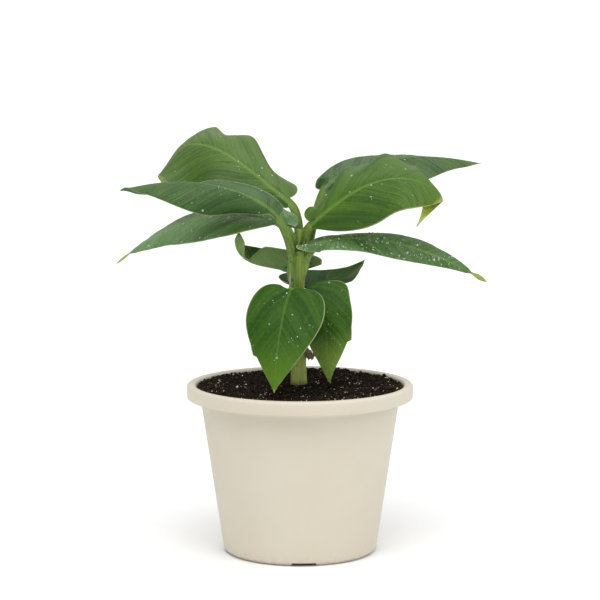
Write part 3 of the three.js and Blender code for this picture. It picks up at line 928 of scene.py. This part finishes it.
def leaf_half(name, leaf, side, sections):
    """One half of a leaf from the midrib out: grids of its top and underside, and its finish's marks."""
    forward, left, up = (axis[:, None] for axis in axes_at(name, leaf, sections[0]))
    centre = centre_line(name, leaf, sections[0])[:, None]
    along, share, rib, slim, plain = (column[:, None] for column in sections)
    half, joined, swept, raised = outline(name, leaf, side, share, slim, plain)
    spread = np.clip((half - slim) / FLAT_WIDTH, 0, 1)
    reach = np.concatenate([rib * RIB_STEPS, lerp(rib, half, BLADE_STEPS)], 1)
    part = np.clip(reach / half, 0, 1)
    for at, deep, torn in TEARS.get(name, []):
        tooth = (torn == side) * np.clip((share - at + TEAR_LENGTH) / TEAR_LENGTH, 0, 1) * (share < at)
        reach = reach + deep * tooth * part**5

    fold, curl = fold_and_curl(name, leaf, side, share)
    begin, bend = fold * spread, curl * part * spread * joined
    chord = reach * np.sinc(bend / (2 * math.pi))
    lift = chord * np.sin(begin + bend / 2) + (ripple(leaf, side, share) + raised) * part**2
    for at, long, further, higher in HUMPS.get(name, {}).get(side, []):
        hump = bell(leaf, share, at, long) * part**2
        chord = chord + further * hump
        lift = lift + higher * hump
    out = chord * np.cos(begin + bend / 2)
    near_foot = np.maximum(0, 1 - share / LOBE_REACH) ** 2
    back = (half * leaf["lobe"] * near_foot * spread * joined + swept) * part**1.5
    hooked, at, long, ahead = HOOKS.get(name, (0, 0, 1, 0))
    back = back - (hooked == side) * ahead * bell(leaf, share, at, long) * part**2

    lean = np.where(reach > rib * 1.001, (begin + bend) * spread, 0)[..., None]
    normal = up * np.cos(lean) - side * left * np.sin(lean)
    distance = along - leaf["stalk"]
    vein = distance - VEIN_SLANT * reach - 0.006 * reach**2
    vein = vein + 2.5 * wander(distance, 23, list(LEAVES).index(name) + 40)
    away = smooth((reach - rib) / 5) * smooth(share * 9) * spread
    raised_skin = heave(name, side, distance, reach, vein, part) * away
    top = centre + left * (side * out)[..., None] + up * lift[..., None] - forward * back[..., None]
    top = top + normal * raised_skin[..., None]
    in_rib = np.maximum(0, 1 - (reach / rib) ** 2)
    thick = lerp(STALK_THICK, lerp(*BLADE_THICK, part), smooth(share * 14))
    thick = np.minimum(thick, np.maximum(LEAST_THICK, half * 0.5))
    thick = thick + KEEL * rib * (1 - 0.75 * share) * np.sqrt(in_rib)
    under = top - normal * thick[..., None]
    top = top - up * (GROOVE * rib * (1 - share) * in_rib)[..., None]
    marks = dict(
        along=np.where(distance < 0, distance / leaf["blade"], share) + 0 * reach,
        across=side * part, vein=vein, reach=reach, rib=rib + 0 * reach,
    )
    return top, under, marks


def leaf_surface(name, leaf):
    """The leaf's top and underside as grids of points, with the marks that its finish reads."""
    leaf = dict(leaf, blade=leaf["blade"] + LONGER.get(name, 0))
    sections = cross_sections(name, leaf)
    left_half, right_half = (leaf_half(name, leaf, side, sections) for side in (1, -1))

    def spanned(left, right):
        """A grid from the left margin to the right one."""
        return np.concatenate([left[:, ::-1], right[:, 1:]], 1)

    marks = {mark: spanned(values, right_half[2][mark]) for mark, values in left_half[2].items()}
    return spanned(left_half[0], right_half[0]), spanned(left_half[1], right_half[1]), marks


def leaf_piece(name, leaf, finish):
    """A leaf in place of its solid, and the grid of its top, for the droplets to lie on."""
    top, under, marks = leaf_surface(name, leaf)
    rows, columns = top.shape[:2]
    below = np.concatenate([np.zeros((rows, columns)), np.ones((rows, columns))], 1)
    below[:, [columns - 1, columns, -1, 0]] = 0.5
    values = {mark: both_sides(grid) for mark, grid in marks.items()}
    made = piece(name + "_blade", *sheet(top, under), finish, dict(values, below=below))
    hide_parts(name)
    return made, top


def droplet():
    """A dome of radius 1 whose underside bulges a little."""
    rings, around = 4, 12
    points = [[0, 0, 1]]
    for i in range(1, rings + 1):
        tilt = i / rings * math.pi / 2
        points += circle(math.sin(tilt), math.cos(tilt), round_angles(around))
    return np.array([*points, [0, 0, -0.15]]), capped_faces(rings, around)


def wet_places(name, top):
    """The chance of a droplet at each point of a leaf's top, in patches on the blade, and its normals."""
    rows, columns = top.shape[:2]
    normal = np.cross(np.gradient(top, axis=1), np.gradient(top, axis=0))
    area = np.linalg.norm(normal, axis=2)
    normal = normal / np.maximum(area, 1e-9)[..., None]
    stalk_rows = rows - int(LEAVES[name]["blade"] / ROW_GAP) - 1
    # No droplets on the stalk, at the blade's very foot and tip, or on its margins.
    area[: stalk_rows + 6] = 0
    area[-12:] = 0
    area[:, :2] = area[:, -2:] = 0
    area = area * np.maximum(0.05, lumps(*np.meshgrid(range(columns), range(rows)), 9, 77) + 0.35)
    return area / area.sum(), normal


def drop_piece(tops, finish):
    """Every droplet as a flattened dome on the upper side of its leaf, in one mesh."""
    rng = np.random.default_rng(5)
    dome, faces = droplet()
    shells = []
    for name, count in DROPS.items():
        top = tops[name]
        chance, normal = wet_places(name, top)
        common = 0.42 if name in SPEARS else 0.3
        for k in rng.choice(chance.size, count, p=chance.ravel()):
            i, j = divmod(int(k), top.shape[1])
            up = normal[i, j]
            side = np.cross(up, [0.3, 0.2, 1.0])
            side = side / np.linalg.norm(side)
            radius = min(1.5, common * math.exp(rng.normal(0, 0.5)))
            size = [radius * rng.uniform(0.85, 1.3), radius, radius * rng.uniform(0.45, 0.7)]
            axes = np.array([side, np.cross(up, side), up])
            shells.append((top[i, j] + up * 0.02 + dome * size @ axes, faces))
    return piece("water_drops", *together(shells), finish)


# Stem


def stem_shell():
    """The column of rolled sheaths with each sheath's edge as a shallow step round it."""
    base = SOIL["crown"] + 0.3
    stops = np.linspace(0, 1, 120)
    angle = round_angles(96, 0.5)
    rings = []
    for share in stops:
        z = lerp(base, STEM["height"], share)
        flare = (STEM["flare"] - STEM["foot_radius"]) * max(0, 1 - (z - base) / STEM["flare_height"]) ** 2
        crown = 1 - 0.5 * ((share - 0.9) / 0.1) ** 2 if share > 0.9 else 1
        radius = (lerp(STEM["foot_radius"], STEM["top_radius"], share) + flare) * crown
        edge = 0.18 + 0.15 * math.sin(z / 16)
        step = ((STEM["sheaths"] * angle / (2 * math.pi) + edge) % 1) ** 3 * 0.55
        reach = radius * (1 + 0.05 * np.cos(STEM["sheaths"] * angle)) + step - 0.2
        x = lerp(STEM["foot"][0], STEM["top"][0], share) + reach * np.cos(angle)
        y = lerp(STEM["foot"][1], STEM["top"][1], share) + reach * np.sin(angle)
        rings.append(np.stack([x, y, 0 * x + z], -1))
    return np.concatenate(rings), tube_faces(len(stops), len(angle))


def stub_shell(name, leaf):
    """The first stretch of a stalk: grooved above, keeled below."""
    along = np.linspace(0, leaf["stub"], max(10, int(leaf["stub"] / 1.5)))
    rib = leaf["rib"] * lerp(STALK_SWELL, 1, np.clip(along / leaf["stalk"], 0, 1))
    rib = rib * lerp(0.6, 1, smooth(along / 12)) * lerp(1, 0.86, smooth((along - leaf["stub"] + OVERLAP) / 5))
    rib = rib[:, None]
    left, up = (axis[:, None] for axis in axes_at(name, leaf, along)[1:])
    reach = SLIM * rib * np.linspace(1, -1, 17)
    in_rib = np.maximum(0, 1 - (reach / rib) ** 2)
    top = centre_line(name, leaf, along)[:, None] + left * reach[..., None]
    under = top - up * (STALK_THICK + KEEL * rib * np.sqrt(in_rib))[..., None]
    return sheet(top - up * (GROOVE * rib * in_rib)[..., None], under)


def crotch_shell():
    """The solid of sheaths between the stalks, widening from the stem up to where they part."""
    stops, angle = np.linspace(0, 1, 30), round_angles(48)
    boxy_x, boxy_y = (np.sign(turn) * np.abs(turn) ** 0.75 for turn in (np.cos(angle), np.sin(angle)))
    rings = []
    for share in stops:
        left, right = lerp(*CROTCH["left"], share), lerp(*CROTCH["right"], share**1.4)
        front, back = lerp(*CROTCH["front"], smooth(share * 1.5)), CROTCH["back"]
        x = (left + right) / 2 + (right - left) / 2 * boxy_x
        y = (front + back) / 2 + (back - front) / 2 * boxy_y
        rings.append(np.stack([x, y, lerp(*CROTCH["heights"], share) + 0.12 * (x + y)], -1))
    return np.concatenate(rings), tube_faces(len(stops), len(angle))


def sheath_shell(heights, lefts, rights, front, notch):
    """A curved strip of sheath before the stalks, with a square-cut top."""
    t = np.linspace(0, 1, 36)[:, None]
    v = np.linspace(0, 1, 24)[None, :]
    x = lerp(lerp(*lefts, t), lerp(*rights, t), v)
    y = front + 1.6 * (2 * v - 1) ** 2 + 2.4 * (1 - t)
    z = lerp(*heights, t) - notch * eased(v, 0.8, 1) * t**4 + 0.3 * np.sin(9 * v) * t
    top = np.stack([x, y, z], -1)
    return sheet(top, top + np.array([0, 1.5, 0]))


def raise_fibres(mesh):
    """Gives the sheaths fine fibres lengthwise, and keeps the mesh above the stem's flat cut."""
    place = rows_of(mesh.vertices, "co") / MM
    around, height = np.arctan2(place[:, 1], place[:, 0] + 2), place[:, 2]
    fibre = 0.12 * lumps(around * 9 + 60, height / 14 + 30, 1, 3)
    fibre = fibre + 0.06 * lumps(around * 24 + 90, height / 9, 1, 4)
    place = place + rows_of(mesh.vertex_normals, "vector") * fibre[:, None]
    place[:, 2] = np.maximum(place[:, 2], SOIL["crown"] + 0.1)
    mesh.vertices.foreach_set("co", (place * MM).ravel())
    mesh.update()


def stem_piece(finish):
    """Stem, sheaths and the first stretch of every stalk, grown together in place of the stem's solid."""
    shells = [stem_shell(), crotch_shell()] + [sheath_shell(**strip) for strip in SHEATHS.values()]
    shells += [stub_shell(name, leaf) for name, leaf in LEAVES.items()]
    made = piece("pseudostem_sheaths", *together(shells), finish)
    modify(made, "union", "REMESH", mode="VOXEL", voxel_size=0.5 * MM, adaptivity=0.0, use_smooth_shade=True)
    modify(made, "ease", "SMOOTH", factor=0.5, iterations=4)
    raise_fibres(apply_modifiers(made, finish))
    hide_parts("pseudostem")
    return made


def husk_piece(finish):
    """A dried scrap of sheath that still hangs from the stem's right side, ragged and fibrous."""
    t = np.linspace(0, 1, 44)[:, None]
    v = np.linspace(-1, 1, 30)[None, :]
    ragged = 1 + 0.16 * np.sin(17 * t) + 0.1 * np.sin(41 * t + 1)
    half = lerp(*HUSK["halves"], t) * np.sqrt(np.clip(1.06 - t**5, 0, 1)) * ragged
    x = HUSK["x"] + HUSK["length"] * t + 0.9 * v * (1 - v) * t + 0.35 * np.sin(9 * v + 4 * t)
    z = HUSK["z"] - 2.6 * t**1.4 - half * v - 1.4 * t * v**2 + 0.7 * np.sin(13 * v) * t**3
    crumpled = 0.5 * np.sin(6 * v + 7 * t) + 0.22 * np.sin(31 * v)
    y = HUSK["y"] - 2.2 * np.sin(math.pi * t) + 1.8 * v**2 + crumpled
    top = np.stack([x, y, z], -1)
    normal = np.cross(np.gradient(top, axis=0), np.gradient(top, axis=1))
    normal = normal / np.linalg.norm(normal, axis=2, keepdims=True)
    marks = dict(along=both_sides(t + 0 * v), across=both_sides(v + 0 * t))
    return piece("dry_sheath", *sheet(top, top + normal * HUSK["thick"]), finish, marks)


# Pot


def wall_radius(height):
    """The outside of the pot's wall below its rim."""
    return lerp(POT["foot_radius"], POT["neck_radius"], height / (POT["height"] - POT["rim_band"]))


def arc(centre, radius, start, end, count):
    """Points of an arc in the radius and height plane, by angle in degrees."""
    angles = np.radians(np.linspace(start, end, count))
    return [(centre[0] + radius * math.cos(a), centre[1] + radius * math.sin(a)) for a in angles]


def pot_profile():
    """Radius and height from the middle of the underside, up over the rim and down to the floor inside."""
    height, rim, mouth = POT["height"], POT["rim_radius"], POT["mouth_radius"]
    foot, bevel, wall = POT["foot_radius"], POT["foot_bevel"], POT["wall"]
    lip, curve = POT["lip"], POT["rounding"]
    skirt = height - POT["rim_band"]
    shoulder = mouth + lip / 2
    return [
        (0, 0), (foot * 0.5, 0), (foot - bevel - 0.4, 0), (foot - bevel + 0.2, 0.15),
        (wall_radius(bevel) - 0.35, bevel - 0.5), (wall_radius(bevel) - 0.05, bevel + 0.1),
        *((wall_radius(z), z) for z in np.linspace(bevel + 0.6, skirt - 4, 24)),
        (wall_radius(skirt - 3) + 0.2, skirt - 2.6), (shoulder - 0.6, skirt + 2), (shoulder, skirt + 3.4),
        (shoulder, height - 2 * lip), (rim - lip, height - 2 * lip), (rim - lip, skirt + 0.9),
        (rim - lip + 0.3, skirt + 0.2), (rim - lip / 2, skirt), (rim - 0.5, skirt + 0.35),
        (rim - 0.25, skirt + 1.1), (rim - 0.05, height - 5), (rim, height - 1.6 * curve),
        *arc((rim - curve, height - curve), curve, 12, 90, 8),
        *arc((mouth + curve, height - curve), curve, 92, 180, 8),
        (mouth - 0.3, skirt + 6), (mouth - 0.6, skirt + 4), (wall_radius(skirt - 2) - wall, skirt - 1.8),
        *((wall_radius(z) - wall, z) for z in np.linspace(skirt - 3, 2 * wall, 16)),
        (foot - bevel, wall), (foot * 0.5, wall), (0, wall),
    ]


def pot_shell():
    """The profile turned round the pot's axis."""
    (_, under), *profile, (_, floor) = pot_profile()
    angles = round_angles(224)
    points = [(0, 0, under)]
    for radius, z in profile:
        points += circle(radius, z, angles)
    # The profile starts underneath, so its faces are turned over.
    faces = [f[:1] + f[:0:-1] for f in capped_faces(len(profile), len(angles))]
    return [*points, (0, 0, floor)], faces


def notch_block(azimuth):
    """A tapered block that cuts a drain notch in the foot's edge."""
    width, slope, height, depth = NOTCH["width"], NOTCH["slope"], NOTCH["height"], NOTCH["depth"]
    outline = [
        (-width / 2, -height), (width / 2, -height), (width / 2, 0), (width / 2 - slope, height),
        (slope - width / 2, height), (-width / 2, 0),
    ]
    a = math.radians(azimuth)
    out, across = np.array([math.cos(a), math.sin(a), 0]), np.array([-math.sin(a), math.cos(a), 0])
    inner = POT["foot_radius"] - POT["foot_bevel"] - depth
    ends = (inner, inner + 2 * depth)
    points = [out * end + across * x + np.array([0, 0, z]) for end in ends for x, z in outline]
    faces = [[5, 4, 3, 2, 1, 0], [6, 7, 8, 9, 10, 11]]
    faces += [[i, (i + 1) % 6, (i + 1) % 6 + 6, i + 6] for i in range(6)]
    return points, faces


def pot_piece(finish):
    """The pot with its drain notches, in place of its solid."""
    made = piece("pot_cream", *pot_shell(), finish)
    azimuths = [NOTCH["azimuth"] + 360 / NOTCH["count"] * i for i in range(NOTCH["count"])]
    blocks = piece("notch_blocks", *together(map(notch_block, azimuths)), finish, shaded=False)
    modify(made, "notches", "BOOLEAN", operation="DIFFERENCE", solver="EXACT", object=blocks)
    apply_modifiers(made, finish).set_sharp_from_angle(angle=math.radians(42))
    bpy.data.objects.remove(blocks)
    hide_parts("pot")
    return made


# Soil


def soil_height(x, y):
    """The top of the soil: a low mound, lumpy, and nearly level where the stem stands."""
    radius = np.hypot(x, y)
    loose = eased(radius, 8, 18)
    x_heap, y_heap, wide, deep, high = HEAP
    heap = high * np.exp(-(((x - x_heap) / wide) ** 2) - ((y - y_heap) / deep) ** 2)
    share = np.clip((radius - SOIL["flat"]) / (SOIL_RIM - SOIL["flat"]), 0, 1)
    low = lerp(SOIL["crown"], SOIL["edge"], share**1.5)
    rough = 0.9 * lumps(x + 200, y + 200, 13, 11) + 0.6 * lumps(x + 300, y + 300, 5.2, 12)
    crumb = 0.55 * lumps(x + 300, y + 300, 2.3, 13) + 0.3 * lumps(x + 300, y + 300, 1.1, 14)
    return low + heap * loose * (1 - eased(radius, 72, 88)) + (rough + crumb) * lerp(0.25, 1, loose)


def soil_piece(finish):
    """The soil in place of its solid: a lumpy top, and plain sides down inside the pot."""
    angles = round_angles(300)
    radii = SOIL_RIM * np.linspace(0, 1, 91)[1:] ** 0.85
    points = [(0, 0, float(soil_height(0.0, 0.0)))]
    for radius in radii:
        x, y = radius * np.cos(angles), radius * np.sin(angles)
        points += np.stack([x, y, soil_height(x, y)], -1).tolist()
    skirt, inside = POT["height"] - POT["rim_band"], POT["wall"] + 0.3
    sides = [
        (SOIL_RIM, skirt + 4.2),
        (wall_radius(skirt - 3) - inside, skirt - 1.9),
        (wall_radius(2 * POT["wall"]) - inside, 5),
        (POT["foot_radius"] - POT["foot_bevel"] - 0.3, inside),
    ]
    for radius, z in sides:
        points += circle(radius, z, angles)
    points.append((0, 0, inside))
    made = piece("soil_surface", points, capped_faces(len(radii) + len(sides), len(angles)), finish)
    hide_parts("soil")
    return made


def pebble():
    """A twenty-sided lump, to be squeezed and turned for each crumb."""
    g = (1 + 5**0.5) / 2
    corners = [
        (-1, g, 0), (1, g, 0), (-1, -g, 0), (1, -g, 0), (0, -1, g), (0, 1, g),
        (0, -1, -g), (0, 1, -g), (g, 0, -1), (g, 0, 1), (-g, 0, -1), (-g, 0, 1),
    ]
    faces = [
        (0, 11, 5), (0, 5, 1), (0, 1, 7), (0, 7, 10), (0, 10, 11), (1, 5, 9), (5, 11, 4), (11, 10, 2),
        (10, 7, 6), (7, 1, 8), (3, 9, 4), (3, 4, 2), (3, 2, 6), (3, 6, 8), (3, 8, 9), (4, 9, 5),
        (2, 4, 11), (6, 2, 10), (8, 6, 7), (9, 8, 1),
    ]
    return np.array(corners) / math.hypot(1, g), faces


def scattered(name, finish, count, smallest, largest, seed, lift):
    """Crumbs strewn over the soil, as one mesh; lift says how high they lie, against half their size."""
    rng = np.random.default_rng(seed)
    corners, faces = pebble()
    shells = []
    for _ in range(count):
        radius = math.sqrt(rng.uniform(0.006, 1)) * (POT["mouth_radius"] - 2.6)
        a = rng.uniform(0, 2 * math.pi)
        x, y = radius * math.cos(a), radius * math.sin(a)
        size = smallest * (largest / smallest) ** (rng.uniform(0, 1) ** 2.2) / 2
        turn, _ = np.linalg.qr(rng.normal(0, 1, (3, 3)))
        shape = corners * (1 + rng.uniform(-0.28, 0.28, (12, 1))) * size
        shape = (shape * [1, rng.uniform(0.6, 1), rng.uniform(0.55, 0.9)]) @ turn
        shells.append((shape + [x, y, float(soil_height(x, y)) + size * lift], faces))
    return piece(name, *together(shells), finish, shaded=False)


def fibres(finish):
    """Short fibres and slivers of bark lying on the soil."""
    rng = np.random.default_rng(31)
    steps = np.linspace(-0.5, 0.5, 6)
    angles = math.pi / 2 * np.arange(4)
    shells = []
    for _ in range(90):
        radius = math.sqrt(rng.uniform(0.02, 1)) * (POT["mouth_radius"] - 6)
        a, way = rng.uniform(0, 2 * math.pi, 2)
        length, thick = rng.uniform(1.8, 4.5), rng.uniform(0.1, 0.22)
        bend = rng.uniform(-1, 1)
        ahead = np.array([math.cos(way), math.sin(way)])
        beside = np.array([-math.sin(way), math.cos(way)])
        line = radius * np.array([math.cos(a), math.sin(a)])
        line = line + length * (steps[:, None] * ahead + bend * steps[:, None] ** 2 * beside)
        height = soil_height(line[:, 0], line[:, 1]) + thick + 0.25
        girth = thick * (1 - 0.6 * abs(2 * steps))[:, None]
        level = line[:, None] + (girth * np.cos(angles))[..., None] * beside
        upright = height[:, None] + girth * np.sin(angles)
        rings = np.concatenate([level, upright[..., None]], -1)
        shells.append((rings.reshape(-1, 3), tube_faces(len(steps), len(angles))))
    return piece("soil_fibres", *together(shells), finish)


# The plant in its pot


def dress_plant():
    """All pieces of the plant and its pot, each in place of its solid where it has one."""
    tops = {}
    for name, leaf in LEAVES.items():
        made, tops[name] = leaf_piece(name, leaf, leaf_finish(name))
        "leaf_light_green" if name in LIGHT_LEAVES else "leaf_deep_green"
    stem_piece(stem_finish())
    pot_piece(pot_finish())
    earth, pale = soil_finish(), speck_finish()
    soil_piece(earth)
    crumbs = scattered("soil_crumbs", earth, count=5200, smallest=1.0, largest=4.2, seed=21, lift=0.25)
    scattered("soil_specks", pale, count=640, smallest=0.5, largest=1.9, seed=22, lift=0.6)
    fibres(pale)
    husk_piece(husk_finish())
    drop_piece(tops, drop_finish())


# Floor, light and camera


def stage():
    """A white floor, and an even white surround."""
    floor_finish = Finish("floor_white")
    grain = floor_finish.noise(floor_finish.place(), 30, 3)
    white = floor_finish.mix(grain.ramp(0.3, 0.7), (0.925, 0.925, 0.925), (0.935, 0.935, 0.935))
    floor_finish.set(Base_Color=white, Roughness=0.9)
    reach = 240
    mesh = bpy.data.meshes.new("floor")
    corners = [(-reach, -reach, 0), (reach, -reach, 0), (reach, reach, 0), (-reach, reach, 0)]
    mesh.from_pydata(corners, [], [(0, 1, 2, 3)])
    mesh.materials.append(floor_finish.material)
    floor = bpy.data.objects.new("floor", mesh)
    bpy.context.scene.collection.objects.link(floor)
    world = bpy.data.worlds.new("studio")
    world.use_nodes = True
    surround = world.node_tree.nodes["Background"].inputs
    surround["Color"].default_value = (1, 1, 1, 1)
    surround["Strength"].default_value = 0.54
    bpy.context.scene.world = world


def sun(name, azimuth, height, spread, power):
    """Even light from one side: azimuth, height and apparent width in degrees, and its power."""
    light = bpy.data.lights.new(name, "SUN")
    light.angle = math.radians(spread)
    light.energy = power
    thing = bpy.data.objects.new(name, light)
    thing.rotation_euler = (math.radians(90 - height), 0, math.radians(azimuth + 90))
    bpy.context.scene.collection.objects.link(thing)


def camera():
    """The photo's view: about seven degrees above level, from the front."""
    lens = bpy.data.cameras.new("photo_view")
    lens.lens = 144.84
    lens.sensor_width = 36
    thing = bpy.data.objects.new("photo_view", lens)
    place, aim = (0, -2.0, 0.4736), (0, 0, 0.2126)
    thing.location = place
    thing.rotation_euler = (math.pi / 2 + math.atan2(aim[2] - place[2], aim[1] - place[1]), 0, 0)
    bpy.context.scene.collection.objects.link(thing)
    bpy.context.scene.camera = thing


dress_plant()
stage()
sun("key_panel", azimuth=-112, height=62, spread=42, power=1.42)
sun("fill_panel", azimuth=-38, height=50, spread=60, power=0.92)
sun("back_panel", azimuth=80, height=60, spread=60, power=0.5)
camera()
bpy.context.scene.view_settings.view_transform = "Standard"
